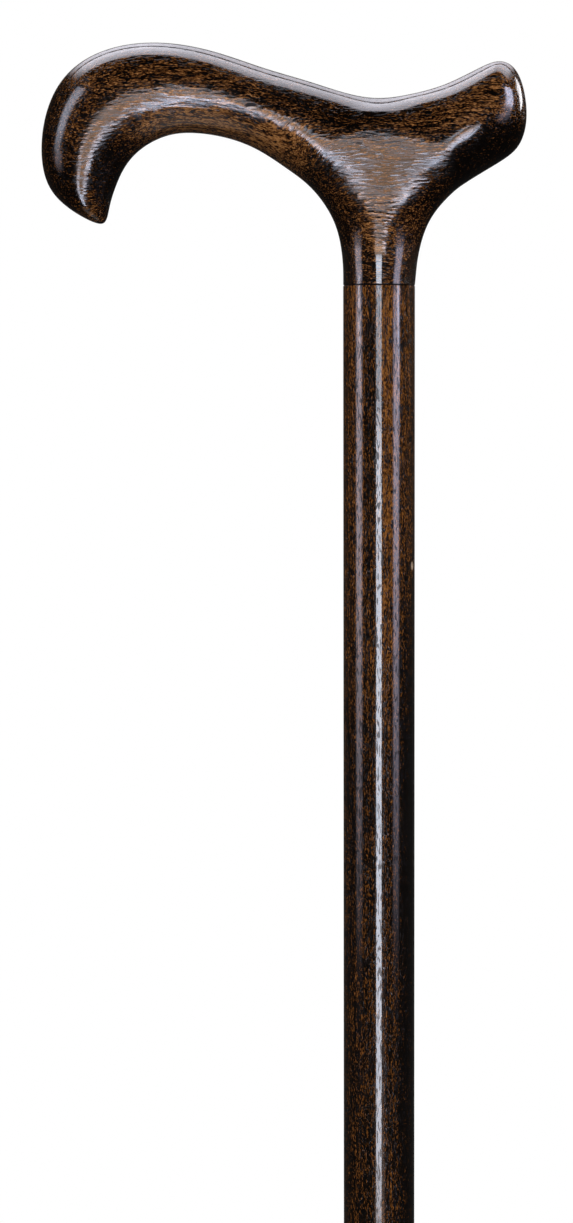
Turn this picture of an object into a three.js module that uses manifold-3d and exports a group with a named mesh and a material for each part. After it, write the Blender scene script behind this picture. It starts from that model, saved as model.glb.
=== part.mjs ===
// A derby handle walking cane: a shaped wooden handle screwed and glued to a turned wooden shaft,
// with a push-on rubber ferrule and its steel washer at the foot.
// Millimetres, +Z up the shaft. The origin is the centre of the ferrule's tread, on the ground.
// The nose of the handle points to -X and its short tail to +X.

import * as THREE from 'three';
import { mergeVertices } from 'three/addons/utils/BufferGeometryUtils.js';
import Module from 'manifold-3d';

const wasm = await Module();
wasm.setup();

// Handle
const caneHeight = 920; // ground to the highest point of the handle
const handleRise = 67.5; // top of the shaft to the highest point of the handle
const noseReach = 94; // shaft axis to the front of the nose
const tailReach = 41.2; // shaft axis to the end of the tail
const gripHalfWidth = 13.5; // half the handle's thickness where the palm lies

// Shaft
const shaftTopRadius = 10;
const shaftFootRadius = 9.4;
const shaftTopChamfer = 0.4;
const shaftFootChamfer = 1;

// Threaded stud that joins the two pieces of wood
const studRadius = 4;
const studPitch = 1.25;
const studThreadDepth = 0.75;
const studLengthInHandle = 35;
const studLengthInShaft = 35;

// Rubber ferrule
const ferruleHeight = 42;
const ferruleFloor = 9.5; // rubber under the washer
const collarWall = 3.4;
const collarRibHeight = 3;
const collarRibDepth = 0.7;
const collarRibCount = 4;
const collarLip = 2.5; // plain band above the top rib
const lipRound = 1;
const treadRadius = 19;
const treadSideHeight = 6;
const treadEdgeRound = 1.2;
const waistHeight = 17; // where the flare meets the collar
const treadCentreRadius = 4;
const treadGrooveWidth = 2;
const treadLandWidth = 3;
const treadGrooveDepth = 1.5;

// Washer on the ferrule's floor
const washerThickness = 1.5;
const washerHoleRadius = 3.2;
const washerChamfer = 0.3;

// Clearances
const gluelineGap = 0.3; // between the end faces of handle and shaft
const studGap = 0.3; // around the stud, filled with glue
const studEndGap = 1; // past each end of the stud
const socketGap = 0.3; // around the shaft and the washer in the ferrule
const washerGap = 0.3; // under and over the washer

// Heights that follow from the sizes above
const seamHeight = caneHeight - handleRise;
const shaftTop = seamHeight - gluelineGap;
const washerBase = ferruleFloor + washerGap;
const shaftFoot = washerBase + washerThickness + washerGap;
const boreRadius = studRadius + studGap;

const roundSides = 64;
const ferruleSides = 40;
const studSides = 12;

// Handle outline, tail to nose. Each section crosses the handle from a point on its top edge to a point
// on its lower edge. Points are shares: x of the tail's or the nose's reach, z of the handle's rise,
// and width of the grip's half width. The section over the neck has no lower edge: it is widest at middle
// and its sides lean in to lower, where flare is a share of the way from the shaft's radius to the grip's.
const tailTipShares = [1, 0.714];
const noseTipShares = [-0.848, 0.259];
const sectionShares = [
  { top: [0.945, 0.867], bottom: [0.962, 0.597], width: 0.53 },
  { top: [0.832, 0.923], bottom: [0.876, 0.533], width: 0.785 },
  { top: [0.684, 0.899], bottom: [0.730, 0.476], width: 0.93 },
  { top: [0.462, 0.833], bottom: [0.584, 0.421], width: 0.97 },
  { top: [0.231, 0.791], bottom: [0.474, 0.367], width: 0.97 },
  { top: [0, 0.773], middle: 0.622, lower: 0.4, width: 0.97, flare: 0.343 },
  { top: [-0.101, 0.794], bottom: [-0.197, 0.394], width: 0.975 },
  { top: [-0.213, 0.843], bottom: [-0.277, 0.484], width: 0.985 },
  { top: [-0.340, 0.896], bottom: [-0.367, 0.563], width: 0.99 },
  { top: [-0.479, 0.960], bottom: [-0.473, 0.614], width: 1 },
  { top: [-0.617, 0.998], bottom: [-0.585, 0.627], width: 0.995 },
  { top: [-0.750, 0.992], bottom: [-0.665, 0.596], width: 0.97 },
  { top: [-0.867, 0.935], bottom: [-0.719, 0.545], width: 0.935 },
  { top: [-0.952, 0.822], bottom: [-0.755, 0.483], width: 0.88 },
  { top: [-0.996, 0.652], bottom: [-0.779, 0.412], width: 0.805 },
  { top: [-0.994, 0.470], bottom: [-0.797, 0.333], width: 0.695 },
  { top: [-0.943, 0.344], bottom: [-0.810, 0.268], width: 0.5 },
];

const neckSection = sectionShares.findIndex(({ flare }) => flare);

// Neck rings, downwards. z is a share of the handle's rise; tail and nose are shares of the way from the
// shaft's radius to the tail's or nose's reach; side is a share of the way to the grip's half width.
const neckRingShares = [
  { z: 0.267, tail: 0.135, nose: 0.033, side: 0.2 },
  { z: 0.141, tail: 0.0386, nose: 0.0054, side: 0.06 },
  { z: 0.059, tail: 0.0129, nose: 0.0004, side: 0.01 },
  { z: 0, tail: 0, nose: 0, side: 0 },
];

const ringPoints = 8; // points round each section: top, three down one side, bottom, three up the other
const eighthTurn = Math.PI / 4;
const fitRounds = 10; // passes that draw the smooth surface onto the section points
const smoothRounds = 2; // each cuts every face into four

// Surface of quads: points is a list of Vector3, faces a list of four indices.

function edgeKey(a, b) {
  return a < b ? `${a}_${b}` : `${b}_${a}`;
}

function edgesOf(faces) {
  const edges = new Map();
  faces.forEach((face, faceIndex) => {
    face.forEach((from, corner) => {
      const to = face[(corner + 1) % face.length];
      const key = edgeKey(from, to);
      if (!edges.has(key)) edges.set(key, { ends: [from, to], faces: [] });
      edges.get(key).faces.push(faceIndex);
    });
  });
  return edges;
}

function average(vectors) {
  const sum = new THREE.Vector3();
  vectors.forEach((vector) => sum.add(vector));
  return sum.divideScalar(vectors.length);
}

// Neighbours of each point: along its edges, across its faces, and along the open rim if it is on one.
function neighboursOf({ points, faces }) {
  const around = points.map(() => ({ along: [], across: [], rim: [], faces: [] }));
  edgesOf(faces).forEach(({ ends: [a, b], faces: sides }) => {
    around[a].along.push(b);
    around[b].along.push(a);
    if (sides.length === 1) {
      around[a].rim.push(b);
      around[b].rim.push(a);
    }
  });
  faces.forEach((face, faceIndex) => {
    face.forEach((point, corner) => {
      around[point].across.push(face[(corner + 2) % face.length]);
      around[point].faces.push(faceIndex);
    });
  });
  return around;
}

// Where each point ends up when the surface has been smoothed without end.
function limitPoints(surface) {
  const { points } = surface;
  return neighboursOf(surface).map(({ along, across, rim }, index) => {
    const point = points[index].clone();
    if (rim.length > 0) {
      rim.forEach((other) => point.addScaledVector(points[other], 1 / 4));
      return point.multiplyScalar(4 / 6);
    }
    const count = along.length;
    point.multiplyScalar(count * count);
    along.forEach((other) => point.addScaledVector(points[other], 4));
    across.forEach((other) => point.add(points[other]));
    return point.divideScalar(count * (count + 5));
  });
}

// One round of smoothing, each quad cut into four.
function smoothOnce(surface) {
  const { points, faces } = surface;
  const facePoints = faces.map((face) => average(face.map((index) => points[index])));
  const edges = edgesOf(faces);
  const newPoints = neighboursOf(surface).map(({ along, rim, faces: sides }, index) => {
    const point = points[index];
    if (rim.length > 0) {
      return point.clone().multiplyScalar(6).add(points[rim[0]]).add(points[rim[1]]).divideScalar(8);
    }
    const count = along.length;
    const faceMean = average(sides.map((side) => facePoints[side]));
    const edgeMean = average(along.map((other) => points[other])).add(point).divideScalar(2);
    return faceMean.addScaledVector(edgeMean, 2).addScaledVector(point, count - 3).divideScalar(count);
  });
  const faceStart = newPoints.length;
  newPoints.push(...facePoints);
  const edgePoint = new Map();
  edges.forEach(({ ends, faces: sides }, key) => {
    const parts = ends.map((index) => points[index]);
    if (sides.length === 2) parts.push(...sides.map((side) => facePoints[side]));
    edgePoint.set(key, newPoints.length);
    newPoints.push(average(parts));
  });
  const newFaces = [];
  faces.forEach((face, faceIndex) => {
    face.forEach((point, corner) => {
      const next = face[(corner + 1) % face.length];
      const last = face[(corner + face.length - 1) % face.length];
      const ahead = edgePoint.get(edgeKey(point, next));
      const behind = edgePoint.get(edgeKey(last, point));
      newFaces.push([point, ahead, faceStart + faceIndex, behind]);
    });
  });
  return { points: newPoints, faces: newFaces };
}

// Moves the points out until the smooth surface passes through where they were.
function fitThrough(surface) {
  const targets = surface.points;
  const fitted = { points: targets.map((point) => point.clone()), faces: surface.faces };
  for (let round = 0; round < fitRounds; round += 1) {
    const limits = limitPoints(fitted);
    fitted.points.forEach((point, index) => point.add(targets[index]).sub(limits[index]));
  }
  return fitted;
}

// Places in the handle, from shares.

function reachX(share) {
  return share < 0 ? share * noseReach : share * tailReach;
}

function handleZ(share) {
  return seamHeight + share * handleRise;
}

function flaredFrom(share, reach) {
  return shaftTopRadius + share * (reach - shaftTopRadius);
}

function handlePoint([xShare, zShare]) {
  return new THREE.Vector3(reachX(xShare), 0, handleZ(zShare));
}

// One section as points round an ellipse whose long axis runs from the top edge to the lower edge.
function sectionRing({ top, bottom, width }) {
  const high = handlePoint(top);
  const low = handlePoint(bottom);
  const centre = average([high, low]);
  const half = high.clone().sub(centre);
  const side = new THREE.Vector3(0, width * gripHalfWidth, 0);
  return Array.from({ length: ringPoints }, (_, step) => {
    const angle = step * eighthTurn;
    return centre.clone().addScaledVector(half, Math.cos(angle)).addScaledVector(side, Math.sin(angle));
  });
}

function neckRing({ z, tail, nose, side }) {
  return Array.from({ length: ringPoints }, (_, step) => {
    const angle = step * eighthTurn;
    const reach = Math.cos(angle) > 0 ? flaredFrom(tail, tailReach) : flaredFrom(nose, noseReach);
    return new THREE.Vector3(
      reach * Math.cos(angle), flaredFrom(side, gripHalfWidth) * Math.sin(angle), handleZ(z),
    );
  });
}

// The section over the neck: half an ellipse above its middle, then sides that lean in, open below.
function saddleRing({ top, middle, lower, width, flare }) {
  const widest = width * gripHalfWidth;
  const side = [
    [widest * Math.SQRT1_2, middle + (top[1] - middle) * Math.SQRT1_2],
    [widest, middle],
    [flaredFrom(flare, gripHalfWidth), lower],
  ];
  const left = side.map(([y, share]) => new THREE.Vector3(0, y, handleZ(share)));
  const right = left.map(({ y, z }) => new THREE.Vector3(0, -y, z)).reverse();
  return [handlePoint(top), ...left, null, ...right];
}

function handleCage() {
  const points = [];
  const faces = [];
  const rings = sectionShares.map((shares, index) => {
    const ring = index === neckSection ? saddleRing(shares) : sectionRing(shares);
    return ring.map((point) => (point ? points.push(point) - 1 : -1));
  });
  for (let index = 0; index + 1 < rings.length; index += 1) {
    for (let step = 0; step < ringPoints; step += 1) {
      const next = (step + 1) % ringPoints;
      const face = [rings[index][step], rings[index][next], rings[index + 1][next], rings[index + 1][step]];
      if (!face.includes(-1)) faces.push(face);
    }
  }
  const caps = [
    { ring: rings[0], tip: handlePoint(tailTipShares), turned: true },
    { ring: rings[rings.length - 1], tip: handlePoint(noseTipShares), turned: false },
  ];
  caps.forEach(({ ring, tip, turned }) => {
    points.push(tip);
    for (let step = 0; step < ringPoints; step += 2) {
      const face = [points.length - 1, ring[step], ring[step + 1], ring[(step + 2) % ringPoints]];
      faces.push(turned ? face.reverse() : face);
    }
  });
  // Rim of the neck, anticlockwise seen from above and starting at the tail side.
  const tailSide = rings[neckSection - 1];
  const middle = rings[neckSection];
  const noseSide = rings[neckSection + 1];
  let rim = [
    tailSide[4], tailSide[3], middle[3], noseSide[3], noseSide[4], noseSide[5], middle[5], tailSide[5],
  ];
  neckRingShares.forEach((shares) => {
    const ring = neckRing(shares).map((point) => points.push(point) - 1);
    rim.forEach((upper, step) => {
      const next = (step + 1) % ringPoints;
      faces.push([upper, ring[step], ring[next], rim[next]]);
    });
    rim = ring;
  });
  return { points, faces };
}

// Closes the open rim of a surface with a fan round one centre point.
function closeFlat(surface, centre) {
  const { points, faces } = surface;
  const hub = points.push(centre) - 1;
  const edges = edgesOf(faces);
  const triangles = [];
  faces.forEach((face) => {
    face.forEach((from, corner) => {
      const to = face[(corner + 1) % face.length];
      if (edges.get(edgeKey(from, to)).faces.length === 1) triangles.push([to, from, hub]);
    });
  });
  faces.push(...triangles);
  return surface;
}

function surfaceGeometry({ points, faces }) {
  const index = faces.flatMap((face) => (
    face.length === 3 ? face : [face[0], face[1], face[2], face[0], face[2], face[3]]
  ));
  const geometry = new THREE.BufferGeometry().setFromPoints(points);
  geometry.setIndex(index);
  return geometry;
}

// Turned pieces: a profile of [radius, height] pairs, upwards on the outside and down on the inside.
function turned(profile, sides) {
  const points = profile.map(([radius, height]) => new THREE.Vector2(radius, height));
  const geometry = new THREE.LatheGeometry(points, sides);
  geometry.rotateX(Math.PI / 2);
  return geometry;
}

// Quarter round from one direction to another, about a centre.
function roundCorner(radius, height, corner, fromAngle, toAngle, steps = 3) {
  return Array.from({ length: steps + 1 }, (_, step) => {
    const angle = fromAngle + (toAngle - fromAngle) * step / steps;
    return [radius + corner * Math.cos(angle), height + corner * Math.sin(angle)];
  });
}

// Solids for cutting.
function solidOf(geometry) {
  const bare = geometry.clone();
  bare.deleteAttribute('normal');
  bare.deleteAttribute('uv');
  const merged = mergeVertices(bare);
  return new wasm.Manifold(new wasm.Mesh({
    numProp: 3,
    vertProperties: Float32Array.from(merged.attributes.position.array),
    triVerts: Uint32Array.from(merged.index.array),
  }));
}

function geometryOf(solid) {
  const { vertProperties, triVerts } = solid.getMesh();
  const geometry = new THREE.BufferGeometry();
  geometry.setAttribute('position', new THREE.BufferAttribute(vertProperties, 3));
  geometry.setIndex(new THREE.BufferAttribute(triVerts, 1));
  return geometry;
}

// Pieces

function handleGeometry() {
  let surface = fitThrough(handleCage());
  for (let round = 0; round < smoothRounds; round += 1) surface = smoothOnce(surface);
  surface.points = limitPoints(surface);
  closeFlat(surface, new THREE.Vector3(0, 0, seamHeight));
  const boreTop = seamHeight + studLengthInHandle + studEndGap;
  const bore = turned([
    [0, seamHeight - gluelineGap], [boreRadius, seamHeight - gluelineGap],
    [boreRadius, boreTop], [0, boreTop + boreRadius / 2],
  ], roundSides / 2);
  return geometryOf(solidOf(surfaceGeometry(surface)).subtract(solidOf(bore)));
}

function shaftRadiusAt(height) {
  const share = (height - shaftFoot) / (shaftTop - shaftFoot);
  return shaftFootRadius + share * (shaftTopRadius - shaftFootRadius);
}

function shaftGeometry() {
  const boreBase = shaftTop - studLengthInShaft - studEndGap;
  return turned([
    [0, shaftFoot],
    [shaftFootRadius - shaftFootChamfer, shaftFoot],
    [shaftRadiusAt(shaftFoot + shaftFootChamfer), shaftFoot + shaftFootChamfer],
    [shaftRadiusAt(shaftTop - shaftTopChamfer), shaftTop - shaftTopChamfer],
    [shaftTopRadius - shaftTopChamfer, shaftTop],
    [boreRadius, shaftTop],
    [boreRadius, boreBase],
    [0, boreBase - boreRadius / 2],
  ], roundSides);
}

function studGeometry() {
  const base = shaftTop - studLengthInShaft;
  const length = studLengthInShaft + gluelineGap + studLengthInHandle;
  const rootRadius = studRadius - studThreadDepth;
  const turns = Math.round(length / studPitch);
  const pitch = length / turns;
  const profile = [[0, base], [rootRadius, base]];
  for (let turn = 0; turn < turns; turn += 1) {
    profile.push([studRadius, base + (turn + 0.5) * pitch]);
    profile.push([rootRadius, base + (turn + 1) * pitch]);
  }
  profile.push([0, base + length]);
  return turned(profile, studSides);
}

// Tread from the centre outwards: lands with ring grooves between them.
function treadProfile() {
  const profile = [[0, 0]];
  let radius = treadCentreRadius;
  const lastLand = treadRadius - treadEdgeRound;
  while (radius + treadGrooveWidth < lastLand) {
    profile.push([radius, 0], [radius, treadGrooveDepth]);
    radius += treadGrooveWidth;
    profile.push([radius, treadGrooveDepth], [radius, 0]);
    radius += treadLandWidth;
  }
  return profile;
}

function collarRadiusAt(height) {
  return shaftRadiusAt(height) + socketGap + collarWall;
}

// The tread's side curves in to the collar like a bell.
function flareProfile(steps = 7) {
  const neck = collarRadiusAt(waistHeight);
  return Array.from({ length: steps }, (_, step) => {
    const angle = Math.PI / 2 * step / steps;
    return [
      treadRadius - (treadRadius - neck) * Math.sin(angle),
      waistHeight - (waistHeight - treadSideHeight) * Math.cos(angle),
    ];
  });
}

function collarProfile() {
  const profile = [];
  const ribTop = ferruleHeight - collarLip - lipRound;
  const pitch = (ribTop - waistHeight) / collarRibCount;
  for (let rib = 0; rib < collarRibCount; rib += 1) {
    const base = waistHeight + rib * pitch;
    const ribBase = base + pitch - collarRibHeight;
    const bevel = collarRibDepth / 2;
    profile.push(
      [collarRadiusAt(base), base],
      [collarRadiusAt(ribBase), ribBase],
      [collarRadiusAt(ribBase) + collarRibDepth, ribBase + bevel],
      [collarRadiusAt(base + pitch) + collarRibDepth, base + pitch - bevel],
    );
  }
  profile.push([collarRadiusAt(ribTop), ribTop]);
  const lipRadius = collarRadiusAt(ferruleHeight) - lipRound;
  profile.push(...roundCorner(lipRadius, ferruleHeight - lipRound, lipRound, 0, Math.PI / 2));
  return profile;
}

function ferruleGeometry() {
  const mouth = shaftRadiusAt(ferruleHeight) + socketGap;
  const socketFoot = shaftFootRadius + socketGap;
  return turned([
    ...treadProfile(),
    ...roundCorner(treadRadius - treadEdgeRound, treadEdgeRound, treadEdgeRound, -Math.PI / 2, 0),
    ...flareProfile(),
    ...collarProfile(),
    [mouth, ferruleHeight],
    [socketFoot, ferruleFloor],
    [0, ferruleFloor],
  ], ferruleSides);
}

function washerGeometry() {
  const top = washerBase + washerThickness;
  return turned([
    [washerHoleRadius, washerBase],
    [shaftFootRadius - washerChamfer, washerBase],
    [shaftFootRadius, washerBase + washerChamfer],
    [shaftFootRadius, top - washerChamfer],
    [shaftFootRadius - washerChamfer, top],
    [washerHoleRadius, top],
    [washerHoleRadius, washerBase],
  ], ferruleSides);
}

function piece(name, geometry, colour, roughness, metalness) {
  const material = new THREE.MeshStandardMaterial({ color: colour, roughness, metalness });
  const mesh = new THREE.Mesh(geometry, material);
  mesh.name = name;
  return mesh;
}

const cane = new THREE.Group();
cane.add(
  piece('handle', handleGeometry(), 0x2e1c10, 0.3, 0),
  piece('shaft', shaftGeometry(), 0x342013, 0.3, 0),
  piece('joint_stud', studGeometry(), 0xa9abad, 0.35, 1),
  piece('rubber_ferrule', ferruleGeometry(), 0x141414, 0.8, 0),
  piece('ferrule_washer', washerGeometry(), 0xb4b6b8, 0.35, 1),
);

export default cane;
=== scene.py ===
from math import atan, atan2, cos, pi, radians, sin, tan

import bpy
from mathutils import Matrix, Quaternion, Vector


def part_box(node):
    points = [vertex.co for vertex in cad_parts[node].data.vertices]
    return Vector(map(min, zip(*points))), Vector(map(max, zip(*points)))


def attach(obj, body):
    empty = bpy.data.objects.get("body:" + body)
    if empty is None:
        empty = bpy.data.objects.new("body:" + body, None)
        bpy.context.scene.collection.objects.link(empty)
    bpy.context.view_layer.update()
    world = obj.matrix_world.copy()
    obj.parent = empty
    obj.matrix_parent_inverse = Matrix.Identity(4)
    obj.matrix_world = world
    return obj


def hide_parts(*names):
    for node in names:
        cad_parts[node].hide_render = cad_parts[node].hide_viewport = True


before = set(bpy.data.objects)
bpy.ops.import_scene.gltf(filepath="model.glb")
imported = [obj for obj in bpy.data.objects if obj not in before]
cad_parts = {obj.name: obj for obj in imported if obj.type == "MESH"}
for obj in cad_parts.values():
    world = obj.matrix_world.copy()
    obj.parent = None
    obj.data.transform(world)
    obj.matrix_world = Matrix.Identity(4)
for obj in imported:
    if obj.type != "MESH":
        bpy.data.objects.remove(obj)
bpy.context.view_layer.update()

# Derby handle cane. Metres, +Z up the shaft, nose of the handle to -X, ground at zero.
mm = 0.001
handleLow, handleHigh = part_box("handle")
shaftLow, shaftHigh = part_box("shaft")
studLow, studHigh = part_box("joint_stud")
ferruleLow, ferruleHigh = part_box("rubber_ferrule")
washerLow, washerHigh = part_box("ferrule_washer")
seamZ = handleLow[2]

photo = {
    "width": 573,  # pixels
    "height": 1223,
    "shaftColumn": 379.05,  # where the shaft's axis stands
    "seamRow": 285,  # where the handle meets the shaft
    "pixel": 0.27875 * mm,  # size of a pixel at the cane
}


# Helpers for meshes

facing = 0.5  # a face looks along an axis when its normal has more of it than this
edgeSegments = 2


def pick(piece):
    if bpy.context.object and bpy.context.object.mode != "OBJECT":
        bpy.ops.object.mode_set(mode="OBJECT")
    bpy.ops.object.select_all(action="DESELECT")
    bpy.context.view_layer.objects.active = piece
    piece.select_set(True)


def editMesh(piece):
    pick(piece)
    bpy.ops.object.mode_set(mode="EDIT")
    bpy.ops.mesh.select_mode(type="FACE")
    bpy.ops.mesh.select_all(action="DESELECT")


def closeMesh():
    # Ends the work in edit mode with every face pointing outwards.
    bpy.ops.mesh.select_all(action="SELECT")
    bpy.ops.mesh.normals_make_consistent(inside=False)
    bpy.ops.object.mode_set(mode="OBJECT")


def selectFaces(piece, wanted):
    # Leaves exactly the faces selected for which wanted(face) holds.
    bpy.ops.mesh.select_all(action="DESELECT")
    bpy.ops.object.mode_set(mode="OBJECT")
    for face in piece.data.polygons:
        face.select = wanted(face)
    bpy.ops.object.mode_set(mode="EDIT")


def extrudeBy(x, y, z):
    bpy.ops.mesh.extrude_region_move(TRANSFORM_OT_translate={"value": (x, y, z)})


def applyModifier(piece, modifier):
    pick(piece)
    bpy.ops.object.modifier_apply(modifier=modifier.name)


def roundEdges(piece, width, sharpAngle):
    rounding = piece.modifiers.new("rounding", "BEVEL")
    rounding.width = width
    rounding.segments = edgeSegments
    rounding.limit_method = "ANGLE"
    rounding.angle_limit = radians(sharpAngle)
    applyModifier(piece, rounding)


def shadeSmooth(piece, angle):
    pick(piece)
    bpy.ops.object.shade_smooth_by_angle(angle=radians(angle))


def dress(piece, name, material, node, body):
    piece.name = name
    piece.data.name = name
    piece.data.materials.clear()
    piece.data.materials.append(material)
    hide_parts(node)
    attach(piece, body)
    print("made", name, "with", len(piece.data.polygons), "faces")


# Helpers for shader nodes

noiseMiddle = 0.5  # noise swings about this value


def addNode(tree, kind, **settings):
    node = tree.nodes.new(kind)
    for name, value in settings.items():
        setattr(node, name, value)
    return node


def feed(tree, socket, value):
    # Links what varies, and writes what is the same all over.
    if isinstance(value, bpy.types.NodeSocket):
        tree.links.new(value, socket)
    else:
        socket.default_value = value


def combine(tree, operation, *values):
    maths = addNode(tree, "ShaderNodeMath", operation=operation)
    for socket, value in zip(maths.inputs, values):
        feed(tree, socket, value)
    return maths.outputs["Value"]


def combineVectors(tree, operation, *vectors):
    maths = addNode(tree, "ShaderNodeVectorMath", operation=operation)
    for socket, vector in zip(maths.inputs, vectors):
        feed(tree, socket, vector)
    return maths.outputs["Value" if operation == "LENGTH" else "Vector"]


def splitPlace(tree, place):
    split = addNode(tree, "ShaderNodeSeparateXYZ")
    tree.links.new(place, split.inputs["Vector"])
    return split.outputs["X"], split.outputs["Y"], split.outputs["Z"]


def joinPlace(tree, x, y, z):
    joined = addNode(tree, "ShaderNodeCombineXYZ")
    for axis, value in zip("XYZ", (x, y, z)):
        tree.links.new(value, joined.inputs[axis])
    return joined.outputs["Vector"]


def mixColours(tree, factor, first, second):
    mix = addNode(tree, "ShaderNodeMix", data_type="RGBA")
    for name, value in (("Factor", factor), ("A", first), ("B", second)):
        feed(tree, mix.inputs[name], value)
    return mix.outputs["Result"]


def blendRange(tree, value, low, high):
    ranged = addNode(tree, "ShaderNodeMapRange", interpolation_type="SMOOTHSTEP")
    ranged.inputs["From Min"].default_value = low
    ranged.inputs["From Max"].default_value = high
    tree.links.new(value, ranged.inputs["Value"])
    return ranged.outputs["Result"]


def spread(tree, share, low, high):
    # A share from zero to one becomes a value from low to high.
    ranged = addNode(tree, "ShaderNodeMapRange")
    ranged.inputs["To Min"].default_value = low
    ranged.inputs["To Max"].default_value = high
    tree.links.new(share, ranged.inputs["Value"])
    return ranged.outputs["Result"]


def noise(tree, place, stretch, detail=1, roughness=0.5):
    # Noise of a place in millimetres, drawn out by dividing by the size of a streak along each axis.
    texture = addNode(tree, "ShaderNodeTexNoise", noise_dimensions="3D")
    texture.inputs["Scale"].default_value = 1
    texture.inputs["Detail"].default_value = detail
    texture.inputs["Roughness"].default_value = roughness
    scaled = combineVectors(tree, "MULTIPLY", place, [1 / size for size in stretch])
    tree.links.new(scaled, texture.inputs["Vector"])
    return texture


def startMaterial(name):
    material = bpy.data.materials.new(name)
    material.use_nodes = True
    return material, material.node_tree, material.node_tree.nodes["Principled BSDF"]


def addBump(tree, shader, height):
    bump = addNode(tree, "ShaderNodeBump")
    bump.inputs["Strength"].default_value = 1
    bump.inputs["Distance"].default_value = 1
    tree.links.new(height, bump.inputs["Height"])
    tree.links.new(bump.outputs["Normal"], shader.inputs["Normal"])


# Camera, level with the middle of the photograph

camera = {
    "lens": 400,
    "sensor": 36,
    "clipNear": 0.1,
    "clipFar": 60,
}


def addCamera():
    middleX = (photo["width"] / 2 - photo["shaftColumn"]) * photo["pixel"]
    middleZ = seamZ + (photo["seamRow"] - photo["height"] / 2) * photo["pixel"]
    halfView = atan(camera["sensor"] / 2 / camera["lens"])
    distance = photo["height"] / 2 * photo["pixel"] / tan(halfView)
    bpy.ops.object.camera_add(location=(middleX, -distance, middleZ), rotation=(pi / 2, 0, 0))
    eye = bpy.context.object
    eye.data.type = "PERSP"
    eye.data.lens = camera["lens"]
    eye.data.sensor_width = camera["sensor"]
    eye.data.clip_start = camera["clipNear"]
    eye.data.clip_end = camera["clipFar"]
    bpy.context.scene.camera = eye
    print("camera at", round(distance, 3), "m")


# Studio: each lamp is set out by the direction in which it stands from the handle

lampAim = (0, 0, 0.89)
softSides = [(0, 0), (0.25, 1), (0.75, 1), (1, 0)]

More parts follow.
